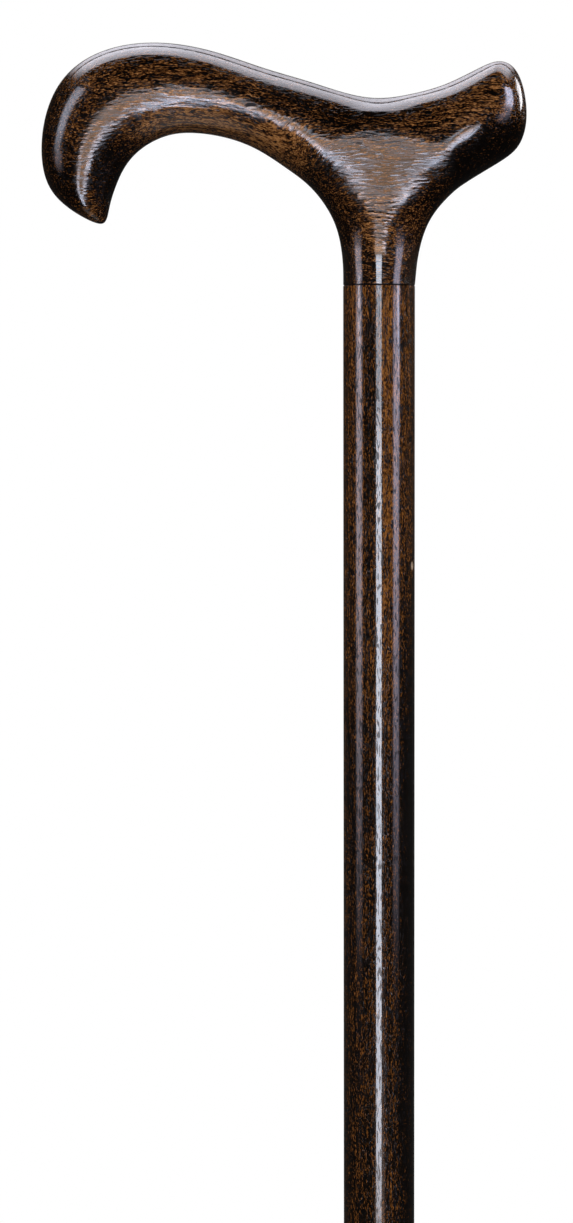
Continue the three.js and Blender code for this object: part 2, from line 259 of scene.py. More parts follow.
studio = {
    "frontWindow": {
        "azimuth": -1, "elevation": -1.3, "distance": 14, "roll": 0,
        "width": 4.3, "height": 1.24, "brightness": 10.2, "colour": (0.8, 0.86, 1.0),
    },
    "frontFill": {
        "azimuth": 2, "elevation": -16.5, "distance": 14, "roll": 0,
        "width": 7.6, "height": 6.4, "brightness": 8.4, "colour": (1.0, 0.62, 0.4),
        "ramp": [(0, 0.5), (0.5, 0.62), (0.68, 1), (0.88, 1), (0.96, 0.3), (1, 0)],
    },
    "frontLow": {
        "azimuth": 1, "elevation": -39, "distance": 10, "roll": 0,
        "width": 2.8, "height": 3.6, "brightness": 24.0, "colour": (0.74, 0.8, 1.0),
        "ramp": [(0, 0.6), (0.35, 0.85), (0.7, 1), (1, 1)],
    },
    "frontLeft": {
        "azimuth": -9, "elevation": -21, "distance": 12, "roll": 0,
        "width": 1.7, "height": 5, "brightness": 16.0, "colour": (0.72, 0.79, 1.0),
        "ramp": [(0, 1), (0.6, 1), (1, 0)],
    },
    "frontRight": {
        "azimuth": 15, "elevation": -17, "distance": 12, "roll": 0,
        "width": 2.4, "height": 5, "brightness": 24.0, "colour": (0.72, 0.79, 1.0),
        "ramp": [(0, 0), (0.12, 0.1), (0.42, 1), (0.6, 1), (1, 0)],
    },
    "leftBox": {
        "azimuth": -68, "elevation": 17, "distance": 1.0, "roll": -14,
        "width": 0.5, "height": 0.66, "brightness": 10.0, "colour": (0.8, 0.83, 1.0),
        "ramp": [(0, 0.45), (0.12, 0.5), (0.3, 1), (1, 1)],
        "across": [(0.1, 0), (0.32, 1), (0.68, 1), (0.9, 0)],
    },
    "leftLow": {
        "azimuth": -68, "elevation": -7.8, "distance": 1.0, "roll": 0,
        "width": 0.5, "height": 0.24, "brightness": 3.6, "colour": (0.94, 0.85, 1.0),
        "ramp": [(0, 0), (0.6, 0.9), (1, 1)],
        "across": softSides,
    },
    "rightBox": {
        "azimuth": 65, "elevation": 18, "distance": 1.0, "roll": -20,
        "width": 0.48, "height": 0.7, "brightness": 24.0, "colour": (0.72, 0.75, 1.0),
        "ramp": [(0, 0.23), (0.12, 0.27), (0.3, 1), (1, 1)],
        "across": softSides,
    },
    "rightLow": {
        "azimuth": 56.5, "elevation": -7.8, "distance": 1.0, "roll": 0,
        "width": 0.46, "height": 0.24, "brightness": 4.6, "colour": (0.84, 0.78, 1.0),
        "ramp": [(0, 0), (0.6, 0.8), (1, 1)],
        "across": softSides,
    },
    "rimBox": {
        "azimuth": 120, "elevation": 17, "distance": 1.0, "roll": 20,
        "width": 0.34, "height": 0.5, "brightness": 14.0, "colour": (0.97, 0.96, 1.0),
    },
    "topBox": {
        "azimuth": 180, "elevation": 40.6, "distance": 0.922, "roll": 0, "level": True,
        "width": 1.4, "height": 1.36, "brightness": 11.0, "colour": (0.92, 0.9, 1.0),
        "ramp": [(0, 0.3), (0.03, 0.8), (0.2, 0.88), (0.315, 0.84),
                 (0.325, 0), (0.4, 0),  # this gap shows as the thin dark line in the pale band
                 (0.41, 0.46), (0.7, 0.29), (0.93, 0.21), (1, 0.1)],
        "across": [(0, 0), (0.18, 1), (0.42, 1), (0.55, 0.75), (0.84, 0.8), (1, 0)],
    },
    "frontWash": {
        "azimuth": 0, "elevation": 12, "distance": 3, "roll": 0, "wash": True,
        "width": 2.4, "height": 2.4, "brightness": 5.4, "colour": (1.0, 1.0, 1.0),
    },
    "leftWash": {
        "azimuth": -95, "elevation": 15, "distance": 3, "roll": 0, "wash": True,
        "width": 2, "height": 2, "brightness": 3.2, "colour": (1.0, 1.0, 1.0),
    },
    "rightWash": {
        "azimuth": 95, "elevation": 15, "distance": 3, "roll": 0, "wash": True,
        "width": 2, "height": 2, "brightness": 3.2, "colour": (1.0, 1.0, 1.0),
    },
    "backWash": {
        "azimuth": 180, "elevation": 25, "distance": 3, "roll": 0, "wash": True,
        "width": 2.4, "height": 2.4, "brightness": 4.4, "colour": (1.0, 1.0, 1.0),
    },
}


def addLamp(name, lamp):
    azimuth = radians(lamp["azimuth"])
    elevation = radians(lamp["elevation"])
    level = cos(elevation)
    outwards = Vector((sin(azimuth) * level, -cos(azimuth) * level, sin(elevation)))
    place = Vector(lampAim) + outwards * lamp["distance"]
    bpy.ops.object.light_add(type="AREA", location=place)
    light = bpy.context.object
    light.name = name
    if lamp.get("level"):  # hangs flat overhead
        light.rotation_euler = (0, 0, 0)
    else:
        turn = (-outwards).to_track_quat("-Z", "Y") @ Quaternion((0, 0, 1), radians(lamp["roll"]))
        light.rotation_euler = turn.to_euler()
    light.data.shape = "RECTANGLE"
    light.data.size = lamp["width"]
    light.data.size_y = lamp["height"]
    light.data.energy = lamp["brightness"] * pi * lamp["width"] * lamp["height"]
    light.data.color = lamp["colour"]
    wash = "wash" in lamp  # a wash lights the colours, the others show in the gloss
    light.visible_camera = False
    light.visible_diffuse = wash
    light.visible_glossy = not wash
    if "ramp" in lamp:
        ramps = {"Y": lamp["ramp"]}
        if "across" in lamp:
            ramps["X"] = lamp["across"]
        fadeLamp(light.data, ramps)


def fadeLamp(lightData, ramps):
    # Brightness in shares: Y from the lamp's lower or front end to the other, X from side to side.
    lightData.use_nodes = True
    tree = lightData.node_tree
    spot = addNode(tree, "ShaderNodeNewGeometry")
    split = addNode(tree, "ShaderNodeSeparateXYZ")
    tree.links.new(spot.outputs["Parametric"], split.inputs["Vector"])
    strength = 1
    for axis, ramp in ramps.items():
        fade = addNode(tree, "ShaderNodeValToRGB")
        while len(fade.color_ramp.elements) < len(ramp):
            fade.color_ramp.elements.new(1)
        for element, (place, share) in zip(fade.color_ramp.elements, ramp):
            element.position = place
            element.color = (share, share, share, 1)
        tree.links.new(split.outputs[axis], fade.inputs["Fac"])
        strength = combine(tree, "MULTIPLY", strength, fade.outputs["Color"])
    tree.links.new(strength, tree.nodes["Emission"].inputs["Strength"])


room = {
    "ambient": 0.03,
    "ambientColour": (1.0, 0.98, 0.96, 1),
    "backdropFrom": 0.95,  # how far back a direction has to point to meet the white backdrop
    "backdropTo": 0.98,
    "backdropLow": 0.05,  # and how far up
    "backdropHigh": 0.2,
    "floorRadius": 0.6,
    "floorSides": 96,
    "floorPlain": 0.25,  # the floor melts into the white from here outwards
    "floorColour": (0.86, 0.86, 0.86, 1),
    "floorRoughness": 0.9,
    "floorSpecular": 0.1,
}


def addRoom():
    world = bpy.data.worlds.new("studioWorld")
    world.use_nodes = True
    bpy.context.scene.world = world
    tree = world.node_tree
    dark = tree.nodes["Background"]
    dark.inputs["Color"].default_value = room["ambientColour"]
    dark.inputs["Strength"].default_value = room["ambient"]
    white = addNode(tree, "ShaderNodeBackground")
    white.inputs["Color"].default_value = (1, 1, 1, 1)
    white.inputs["Strength"].default_value = 1
    path = addNode(tree, "ShaderNodeLightPath")
    direction = addNode(tree, "ShaderNodeTexCoord")
    back, up = splitPlace(tree, direction.outputs["Generated"])[1:]
    behind = blendRange(tree, back, room["backdropFrom"], room["backdropTo"])
    above = blendRange(tree, up, room["backdropLow"], room["backdropHigh"])
    backdrop = combine(tree, "MULTIPLY", behind, above)
    mirrored = combine(tree, "MULTIPLY", path.outputs["Is Glossy Ray"], backdrop)
    seen = combine(tree, "MAXIMUM", path.outputs["Is Camera Ray"], path.outputs["Is Transmission Ray"])
    mix = addNode(tree, "ShaderNodeMixShader")
    tree.links.new(combine(tree, "MAXIMUM", seen, mirrored), mix.inputs["Fac"])
    tree.links.new(dark.outputs["Background"], mix.inputs[1])
    tree.links.new(white.outputs["Background"], mix.inputs[2])
    tree.links.new(mix.outputs["Shader"], tree.nodes["World Output"].inputs["Surface"])

    bpy.ops.mesh.primitive_circle_add(
        vertices=room["floorSides"], radius=room["floorRadius"], fill_type="NGON")
    floor = bpy.context.object
    floor.name = "studio_floor"
    paint, tree, shader = startMaterial("studioFloor")
    shader.inputs["Base Color"].default_value = room["floorColour"]
    shader.inputs["Roughness"].default_value = room["floorRoughness"]
    shader.inputs["Specular IOR Level"].default_value = room["floorSpecular"]
    where = addNode(tree, "ShaderNodeTexCoord")
    fromMiddle = combineVectors(tree, "LENGTH", where.outputs["Object"])
    solid = blendRange(tree, fromMiddle, room["floorRadius"], room["floorPlain"])
    tree.links.new(solid, shader.inputs["Alpha"])
    floor.data.materials.append(paint)
    print("studio with", len(studio), "lamps")


# Wood: fibres lie along the first axis of Place, growth layers are stacked along the second

grain = {
    "waveSize": (70, 30, 30),  # millimetres along the fibres, across the layers, within a layer
    "waveDepth": 4,
    "rippleSize": (9, 3.5, 3.5),
    "rippleDepth": 1.1,
    "layerSize": (110, 2.4, 12),
    "layerDetail": 2,
    "layerShare": 0.5,
    "streakSize": (12, 0.5, 0.7),
    "streakDetail": 1,
    "streakShare": 0.75,
    "fleckSize": (1.0, 0.24, 0.28),
    "fleckDetail": 1,
    "fleckShare": 2.4,
    "figureRoughness": 0.55,
    "poreSize": (2.4, 0.4, 0.4),
    "poreDetail": 0,
    "poreEdge": (0.59, 0.65),  # values of the noise between which a pore begins
    "poreShare": 0.6,
    "fibreSize": (5.5, 0.85, 0.85),
    "valleyEdge": (0.5, 0.44),  # and between which a valley between two fibres begins
    "ridgeBare": 0.15,  # how bare the ridges are in an open spot, beside the valleys' 1
    "darkToMiddle": (-0.34, 0.12),  # tones between which one colour turns into the next
    "middleToLight": (0.06, 0.6),
    "spotCore": 0.3,  # share of a spot that it fills, where the spot doesn't say
}


def bend(tree, place, size, depth):
    wave = noise(tree, place, size).outputs["Color"]
    centred = combineVectors(tree, "SUBTRACT", wave, [noiseMiddle] * 3)
    return combineVectors(tree, "MULTIPLY_ADD", centred, (0, depth, depth), place)


def buildWoodGrain():
    tree = bpy.data.node_groups.new("woodGrain", "ShaderNodeTree")
    sockets = tree.interface
    sockets.new_socket("Place", in_out="INPUT", socket_type="NodeSocketVector")
    for name in ("Dark", "Middle", "Light"):
        sockets.new_socket(name, in_out="INPUT", socket_type="NodeSocketColor")
    for name in ("Tone", "Valley Tone", "Fibre Height", "Pore Depth"):
        sockets.new_socket(name, in_out="INPUT", socket_type="NodeSocketFloat")
    for name in ("Height", "Pores", "Open Grain"):
        sockets.new_socket(name, in_out="OUTPUT", socket_type="NodeSocketFloat")
    sockets.new_socket("Color", in_out="OUTPUT", socket_type="NodeSocketColor")
    given = addNode(tree, "NodeGroupInput").outputs
    result = addNode(tree, "NodeGroupOutput")

    place = bend(tree, given["Place"], grain["waveSize"], grain["waveDepth"])
    place = bend(tree, place, grain["rippleSize"], grain["rippleDepth"])
    fibres = noise(tree, place, grain["fibreSize"]).outputs["Fac"]
    valleys = blendRange(tree, fibres, *grain["valleyEdge"])
    pores = noise(tree, place, grain["poreSize"], grain["poreDetail"]).outputs["Fac"]
    pores = blendRange(tree, pores, *grain["poreEdge"])

    tone = given["Tone"]
    for kind in ("layer", "streak", "fleck"):
        detail, share = grain[kind + "Detail"], grain[kind + "Share"]
        figure = noise(tree, place, grain[kind + "Size"], detail, grain["figureRoughness"]).outputs["Fac"]
        centred = combine(tree, "SUBTRACT", figure, noiseMiddle)
        tone = combine(tree, "ADD", tone, combine(tree, "MULTIPLY", centred, share))
    tone = combine(tree, "SUBTRACT", tone, combine(tree, "MULTIPLY", pores, grain["poreShare"]))
    tone = combine(tree, "SUBTRACT", tone, combine(tree, "MULTIPLY", valleys, given["Valley Tone"]))
    middle = blendRange(tree, tone, *grain["darkToMiddle"])
    light = blendRange(tree, tone, *grain["middleToLight"])
    lower = mixColours(tree, middle, given["Dark"], given["Middle"])
    colour = mixColours(tree, light, lower, given["Light"])

    ridge = combine(tree, "MULTIPLY", fibres, given["Fibre Height"])
    pit = combine(tree, "MULTIPLY", pores, given["Pore Depth"])
    tree.links.new(colour, result.inputs["Color"])
    tree.links.new(combine(tree, "SUBTRACT", ridge, pit), result.inputs["Height"])
    tree.links.new(pores, result.inputs["Pores"])
    tree.links.new(valleys, result.inputs["Open Grain"])
    return tree


def reachOf(tree, place, spot):
    # One at the spot's centre, nothing outside its half sizes; a bow lifts the middle of a long thin spot.
    away = combineVectors(tree, "SUBTRACT", place, spot["at"])
    if "bow" in spot:
        x, y, z = splitPlace(tree, away)
        drop = combine(tree, "MULTIPLY", combine(tree, "MULTIPLY", x, x), spot["bow"])
        away = joinPlace(tree, x, y, combine(tree, "ADD", z, drop))
    share = combineVectors(tree, "DIVIDE", away, spot["size"])
    if "square" in spot:
        x, y, z = (combine(tree, "ABSOLUTE", part) for part in splitPlace(tree, share))
        distance = combine(tree, "MAXIMUM", combine(tree, "MAXIMUM", x, y), z)
    else:
        distance = combineVectors(tree, "LENGTH", share)
    return blendRange(tree, distance, 1, spot.get("core", grain["spotCore"]))


def patchedTone(tree, place, wood):
    # Patches that are darker or lighter than the rest.
    tone = wood["tone"]
    for patch in wood["patches"]:
        part = combine(tree, "MULTIPLY", reachOf(tree, place, patch), patch["tone"])
        tone = combine(tree, "ADD", tone, part)
    return tone


def followArch(tree, place, arch):
    # Near the arch the fibres run along its curve.
    x, y, z = splitPlace(tree, place)
    away = combineVectors(tree, "SUBTRACT", place, arch["centre"])
    radius = combineVectors(tree, "LENGTH", combineVectors(tree, "MULTIPLY", away, (1, 0, 1)))
    close = blendRange(tree, radius, arch["radius"] + arch["fade"], arch["radius"])
    begun = blendRange(tree, x, arch["from"], arch["from"] + arch["fade"])
    ended = blendRange(tree, x, arch["to"], arch["to"] - arch["endFade"])
    share = combine(tree, "MULTIPLY", close, combine(tree, "MULTIPLY", begun, ended))
    lift = combine(tree, "MULTIPLY", share, combine(tree, "SUBTRACT", radius, z))
    return joinPlace(tree, x, y, combine(tree, "ADD", z, lift))


def openGrain(tree, place, wood, figure):
    # In the open spots the fibres stand out through the lacquer. Gives how bare the wood is there.
    openness = 0
    for spot in wood["openSpots"]:
        openness = combine(tree, "MAXIMUM", openness, reachOf(tree, place, spot))
    coarse = combine(tree, "MULTIPLY", openness, (wood["fibreHeight"] - wood["fineHeight"]) * mm)
    ridge = combine(tree, "ADD", coarse, wood["fineHeight"] * mm)
    tree.links.new(ridge, figure.inputs["Fibre Height"])
    least = grain["ridgeBare"]
    bare = combine(tree, "MULTIPLY", figure.outputs["Open Grain"], 1 - least)
    return combine(tree, "MULTIPLY", combine(tree, "ADD", bare, least), openness)


def woodMaterial(name, wood, grainGroup):
    material, tree, shader = startMaterial(name)
    where = addNode(tree, "ShaderNodeTexCoord")
    fromSeam = addNode(tree, "ShaderNodeMapping")  # millimetres, counted from the seam
    fromSeam.inputs["Scale"].default_value = (1 / mm, 1 / mm, 1 / mm)
    fromSeam.inputs["Location"].default_value = (0, 0, -seamZ / mm)
    tree.links.new(where.outputs["Object"], fromSeam.inputs["Vector"])
    place = fromSeam.outputs["Vector"]
    height = splitPlace(tree, place)[2]

    laid = followArch(tree, place, wood["arch"]) if "arch" in wood else place
    turn = addNode(tree, "ShaderNodeMapping")
    turn.inputs["Rotation"].default_value = [radians(angle) for angle in wood["turn"]]
    turn.inputs["Scale"].default_value = [wood["fineness"]] * 3
    tree.links.new(laid, turn.inputs["Vector"])
    figure = addNode(tree, "ShaderNodeGroup", node_tree=grainGroup)
    tree.links.new(turn.outputs["Vector"], figure.inputs["Place"])
    figure.inputs["Dark"].default_value = wood["dark"]
    figure.inputs["Middle"].default_value = wood["middle"]
    figure.inputs["Light"].default_value = wood["light"]
    figure.inputs["Valley Tone"].default_value = wood["valleyTone"]
    figure.inputs["Fibre Height"].default_value = wood["fineHeight"] * mm
    figure.inputs["Pore Depth"].default_value = wood["poreDepth"] * mm
    tree.links.new(patchedTone(tree, place, wood), figure.inputs["Tone"])

    colour, relief = figure.outputs["Color"], figure.outputs["Height"]
    dull = combine(tree, "MULTIPLY", figure.outputs["Pores"], wood["poreDullness"])
    unpolished = 0
    for mark in wood["marks"]:  # each covers what the ones before it have laid down
        reach = reachOf(tree, place, mark)
        colour = mixColours(tree, reach, colour, mark["colour"])
        relief = combine(tree, "SUBTRACT", relief, combine(tree, "MULTIPLY", reach, mark["depth"] * mm))
        dull = combine(tree, "MAXIMUM", dull, reach)
        kept = combine(tree, "MULTIPLY", unpolished, combine(tree, "SUBTRACT", 1, reach))
        unpolished = combine(tree, "ADD", kept, combine(tree, "MULTIPLY", reach, mark["roughness"]))
    fromEdge = combine(tree, "ABSOLUTE", height)
    seamLine = blendRange(tree, fromEdge, wood["seamDark"] + wood["seamBlend"], wood["seamDark"])
    dull = combine(tree, "MAXIMUM", dull, seamLine)
    tree.links.new(mixColours(tree, seamLine, colour, wood["dark"]), shader.inputs["Base Color"])
    addBump(tree, shader, relief)

    rougher = dull
    if "openSpots" in wood:
        rougher = combine(tree, "MAXIMUM", openGrain(tree, place, wood, figure), dull)
    rough = spread(tree, rougher, wood["roughness"], wood["dullRoughness"])
    tree.links.new(combine(tree, "MAXIMUM", rough, unpolished), shader.inputs["Roughness"])
    shader.inputs["IOR"].default_value = wood["ior"]

    polished = combine(tree, "SUBTRACT", 1, dull)
    glossy = blendRange(tree, height, wood["coatEnds"], wood["coatFull"])
    for spot in wood.get("wornSpots", []):
        worn = combine(tree, "MULTIPLY", reachOf(tree, place, spot), spot["share"])
        glossy = combine(tree, "MULTIPLY", glossy, combine(tree, "SUBTRACT", 1, worn))
    coat = combine(tree, "MULTIPLY", combine(tree, "MULTIPLY", polished, glossy), wood["coat"])
    tree.links.new(coat, shader.inputs["Coat Weight"])
    shader.inputs["Coat Roughness"].default_value = wood["coatRoughness"]
    shader.inputs["Coat IOR"].default_value = wood["coatIor"]
    return material


# Handle: a square bar is blocked out, cut into sections, and each of its points is put on the outline

handleShape = {
    "noseReach": 94 * mm,
    "tailReach": 41.2 * mm,
    "rise": 67.5 * mm,
    "gripHalfWidth": 13.5 * mm,
    "neckRadius": 10 * mm,
    "boreRadius": 4.3 * mm,
    "boreDepth": 36 * mm,
    "fitRounds": 10,
    "smoothLevels": 4,
    "smoothAngle": 40,
}

# Outline of the handle, tail to nose, in shares: x of the tail's or the nose's reach, z of the rise,
# width of the grip's half width. Each section crosses from its top edge to its lower edge.
tailTipShares = (1, 0.714)
noseTipShares = (-0.848, 0.259)
sectionShares = [
    {"top": (0.945, 0.867), "bottom": (0.962, 0.597), "width": 0.53},
    {"top": (0.832, 0.923), "bottom": (0.876, 0.533), "width": 0.785},
    {"top": (0.684, 0.899), "bottom": (0.730, 0.476), "width": 0.93},
    {"top": (0.462, 0.833), "bottom": (0.584, 0.421), "width": 0.97},
    {"top": (0.231, 0.791), "bottom": (0.474, 0.367), "width": 0.97},
    {"top": (0, 0.773), "middle": 0.622, "lower": 0.4, "width": 0.97, "flare": 0.343},
    {"top": (-0.101, 0.794), "bottom": (-0.197, 0.394), "width": 0.975},
    {"top": (-0.213, 0.843), "bottom": (-0.277, 0.484), "width": 0.985},
    {"top": (-0.340, 0.896), "bottom": (-0.367, 0.563), "width": 0.99},
    {"top": (-0.479, 0.960), "bottom": (-0.473, 0.614), "width": 1},
    {"top": (-0.617, 0.998), "bottom": (-0.585, 0.627), "width": 0.995},
    {"top": (-0.750, 0.992), "bottom": (-0.665, 0.596), "width": 0.97},
    {"top": (-0.867, 0.935), "bottom": (-0.719, 0.545), "width": 0.935},
    {"top": (-0.952, 0.822), "bottom": (-0.755, 0.483), "width": 0.88},
    {"top": (-0.996, 0.652), "bottom": (-0.779, 0.412), "width": 0.805},
    {"top": (-0.994, 0.470), "bottom": (-0.797, 0.333), "width": 0.695},
    {"top": (-0.943, 0.344), "bottom": (-0.810, 0.268), "width": 0.5},
]
neckSection = 5  # the section over the shaft
cubeSections = 3  # sections that the first cube already has
boreRings = 2  # the bore's mouth and end

# Neck rings downwards: z of the rise, the rest shares of the way from the neck's radius to each reach.
neckRingShares = [
    {"z": 0.267, "tail": 0.135, "nose": 0.033, "side": 0.2},
    {"z": 0.141, "tail": 0.0386, "nose": 0.0054, "side": 0.06},
    {"z": 0.059, "tail": 0.0129, "nose": 0.0004, "side": 0.01},
    {"z": 0, "tail": 0, "nose": 0, "side": 0},
]


def outlinePoint(shares):
    reach = handleShape["noseReach"] if shares[0] < 0 else handleShape["tailReach"]
    return Vector((shares[0] * reach, 0, seamZ + shares[1] * handleShape["rise"]))


def flared(share, reach):
    radius = handleShape["neckRadius"]
    return radius + share * (reach - radius)


def blockOutHandle():
    # Bar of one unit a section: x runs from 0 at the tail to minus the last section, y and z from -1 to 1,
    # and the rings of the neck and of its bore follow downwards from -2.
    bpy.ops.mesh.primitive_cube_add(size=2, location=(-1, 0, 0))
    bpy.ops.object.transform_apply(location=True)
    bar = bpy.context.object
    editMesh(bar)
    bpy.ops.mesh.select_all(action="SELECT")
    bpy.ops.mesh.subdivide(number_cuts=1)
    selectFaces(bar, lambda face: face.normal.x < -facing)
    for section in range(cubeSections, len(sectionShares)):
        extrudeBy(-1, 0, 0)
    selectFaces(bar, lambda face: face.normal.z < -facing and abs(face.center.x + neckSection) < 1)
    for ring in range(len(neckRingShares) + boreRings):
        extrudeBy(0, 0, -1)
    bpy.ops.object.mode_set(mode="OBJECT")
    return bar


def sectionPlace(section, y, z):
    shares = sectionShares[section]
    if y == 0 and z == 0:
        return outlinePoint(tailTipShares if section == 0 else noseTipShares)
    if section == neckSection and z < 0:
        side = flared(shares["flare"], handleShape["gripHalfWidth"])
        return outlinePoint((0, shares["lower"])) + Vector((0, y * side, 0))
    high = outlinePoint(shares["top"])
    if section == neckSection:
        middle = outlinePoint((0, shares["middle"]))
        upwards = high - middle
    else:
        low = outlinePoint(shares["bottom"])
        middle, upwards = (high + low) / 2, (high - low) / 2
    angle = atan2(y, z)
    aside = shares["width"] * handleShape["gripHalfWidth"] * sin(angle)
    return middle + upwards * cos(angle) + Vector((0, aside, 0))


def neckPlace(ring, towardsTail, y):
    boreRing = ring - len(neckRingShares)
    centre = Vector((0, 0, seamZ))
    if boreRing < 0:
        shares = neckRingShares[ring]
        centre = outlinePoint((0, shares["z"]))
    elif boreRing == 1:
        centre.z += handleShape["boreDepth"]
    if towardsTail == 0 and y == 0:
        return centre
    angle = atan2(y, towardsTail)
    if boreRing >= 0:
        return centre + handleShape["boreRadius"] * Vector((cos(angle), sin(angle), 0))
    if towardsTail > 0:
        reach = flared(shares["tail"], handleShape["tailReach"])
    else:
        reach = flared(shares["nose"], handleShape["noseReach"])
    side = flared(shares["side"], handleShape["gripHalfWidth"])
    return centre + Vector((reach * cos(angle), side * sin(angle), 0))


def placeHandlePoints(bar):
    sharpRings = set()
    for point in bar.data.vertices:
        x, y, z = (round(value) for value in point.co)
        if z >= -1:
            point.co = sectionPlace(-x, y, z)
            continue
        ring = -z - 2
        if ring >= len(neckRingShares) - 1 and (x, y) != (-neckSection, 0):
            sharpRings.add((ring, point.index))
        point.co = neckPlace(ring, x + neckSection, y)
    return sharpRings


def creaseRings(bar, sharpRings):
    ringOf = {index: ring for ring, index in sharpRings}
    crease = bar.data.attributes.new("crease_edge", "FLOAT", "EDGE")
    for edge in bar.data.edges:
        first, second = (ringOf.get(index) for index in edge.vertices)
        if first is not None and first == second:
            crease.data[edge.index].value = 1


def drawOntoPlaces(piece, rounds):
    # Moves the cage's points out until the smooth surface passes through where they were.
    targets = [point.co.copy() for point in piece.data.vertices]
    smooth = piece.modifiers.new("fit", "SUBSURF")
    smooth.levels = smooth.render_levels = 1
    smooth.use_limit_surface = True
    for turn in range(rounds):
        drawn = piece.evaluated_get(bpy.context.evaluated_depsgraph_get()).data
        reached = [drawn.vertices[index].co.copy() for index in range(len(targets))]
        for point, target, now in zip(piece.data.vertices, targets, reached):
            point.co += target - now
        piece.data.update()
        bpy.context.view_layer.update()
    piece.modifiers.remove(smooth)


def buildHandle(material):
    bar = blockOutHandle()
    creaseRings(bar, placeHandlePoints(bar))
    drawOntoPlaces(bar, handleShape["fitRounds"])
    smooth = bar.modifiers.new("smooth", "SUBSURF")
    smooth.levels = smooth.render_levels = handleShape["smoothLevels"]
    smooth.use_limit_surface = True
    smooth.use_creases = True
    applyModifier(bar, smooth)
    shadeSmooth(bar, handleShape["smoothAngle"])
    dress(bar, "handle_carved", material, "handle", "stick")


# Shaft: turned, tapering to the foot

shaftShape = {
    "sides": 96,
    "topRadius": 10 * mm,
    "footRadius": 9.4 * mm,
    "topChamfer": 0.3 * mm,
    "seamGap": 0.03 * mm,
    "footChamfer": 1 * mm,
    "boreRadius": 4.3 * mm,
    "boreDepth": 36 * mm,
    "smoothAngle": 30,
}


def stackRings(profile, sides):
    # A disc, drawn out and widened from one ring of [radius, height] to the next; the last one closes it.
    radius, height = profile[0]
    bpy.ops.mesh.primitive_circle_add(
        vertices=sides, radius=radius, fill_type="NGON", location=(0, 0, height))
    bpy.ops.object.transform_apply(location=True)
    piece = bpy.context.object
    editMesh(piece)
    bpy.ops.mesh.select_all(action="SELECT")
    for nextRadius, nextHeight in profile[1:]:
        extrudeBy(0, 0, nextHeight - height)
        share = nextRadius / radius
        bpy.ops.transform.resize(value=(share, share, 1), center_override=(0, 0, nextHeight))
        radius, height = nextRadius, nextHeight
    closeMesh()
    return piece


def roundSteps(radius, height, corner, fromAngle, toAngle, steps=5):
    turns = [radians(fromAngle + (toAngle - fromAngle) * step / steps) for step in range(steps + 1)]
    return [(radius + corner * cos(turn), height + corner * sin(turn)) for turn in turns]


def shaftRadiusAt(height):
    share = (height - shaftLow[2]) / (shaftHigh[2] - shaftLow[2])
    return shaftShape["footRadius"] + share * (shaftShape["topRadius"] - shaftShape["footRadius"])


def buildShaft(material):
    foot, top = shaftLow[2], seamZ - shaftShape["seamGap"]
    footRound, topRound = shaftShape["footChamfer"], shaftShape["topChamfer"]
    bore, boreEnd = shaftShape["boreRadius"], shaftHigh[2] - shaftShape["boreDepth"]
    shaft = stackRings([
        (shaftRadiusAt(foot) - footRound, foot),
        (shaftRadiusAt(foot + footRound), foot + footRound),
        (shaftRadiusAt(top - topRound), top - topRound),
        (shaftShape["topRadius"] - topRound, top),
        (bore, top),
        (bore, boreEnd),
    ], shaftShape["sides"])
    shadeSmooth(shaft, shaftShape["smoothAngle"])
    dress(shaft, "shaft_turned", material, "shaft", "stick")


# Stud: one turn of the thread is drawn, wound up past both ends and cut off square

studShape = {
    "crestRadius": 4 * mm,
    "rootRadius": 3.32 * mm,
    "crestWidth": 0.16 * mm,
    "pitch": 1.25 * mm,
    "sides": 32,
    "spareTurns": 2,  # cut off at the ends
    "weld": 0.01 * mm,
    "smoothAngle": 35,
}


def buildStud(material):
    base, end = studLow[2], studHigh[2]
    pitch = studShape["pitch"]
    root, crest = studShape["rootRadius"], studShape["crestRadius"]
    halfCrest = studShape["crestWidth"] / 2
    start = base - pitch
    points = [
        (root, start), (root, start + halfCrest), (crest, start + pitch / 2 - halfCrest),
        (crest, start + pitch / 2 + halfCrest), (root, start + pitch - halfCrest), (root, start + pitch),
    ]
    bpy.ops.mesh.primitive_plane_add(size=mm, location=(points[0][0], 0, points[0][1]))
    bpy.ops.object.transform_apply(location=True)
    stud = bpy.context.object
    editMesh(stud)
    bpy.ops.mesh.select_mode(type="VERT")
    bpy.ops.mesh.select_all(action="SELECT")
    bpy.ops.mesh.merge(type="CENTER")
    for last, point in zip(points, points[1:]):
        step = (point[0] - last[0], 0, point[1] - last[1])
        bpy.ops.mesh.extrude_vertices_move(TRANSFORM_OT_translate={"value": step})
    bpy.ops.object.mode_set(mode="OBJECT")
    thread = stud.modifiers.new("thread", "SCREW")
    thread.axis = "Z"
    thread.screw_offset = pitch
    thread.iterations = round((end - base) / pitch) + studShape["spareTurns"]
    thread.steps = thread.render_steps = studShape["sides"]
    thread.use_merge_vertices = True
    thread.merge_threshold = studShape["weld"]
    applyModifier(stud, thread)
    editMesh(stud)
    bpy.ops.mesh.select_mode(type="VERT")
    bpy.ops.mesh.select_all(action="SELECT")
    bpy.ops.mesh.remove_doubles(threshold=studShape["weld"])
    for height, upwards in ((base, -1), (end, 1)):
        bpy.ops.mesh.select_all(action="SELECT")
        bpy.ops.mesh.bisect(
            plane_co=(0, 0, height), plane_no=(0, 0, upwards), use_fill=True, clear_outer=True)
    closeMesh()
    shadeSmooth(stud, studShape["smoothAngle"])
    dress(stud, "stud_threaded", material, "joint_stud", "stick")


# Ferrule: moulded rubber with a ringed tread, a bell and a ribbed collar

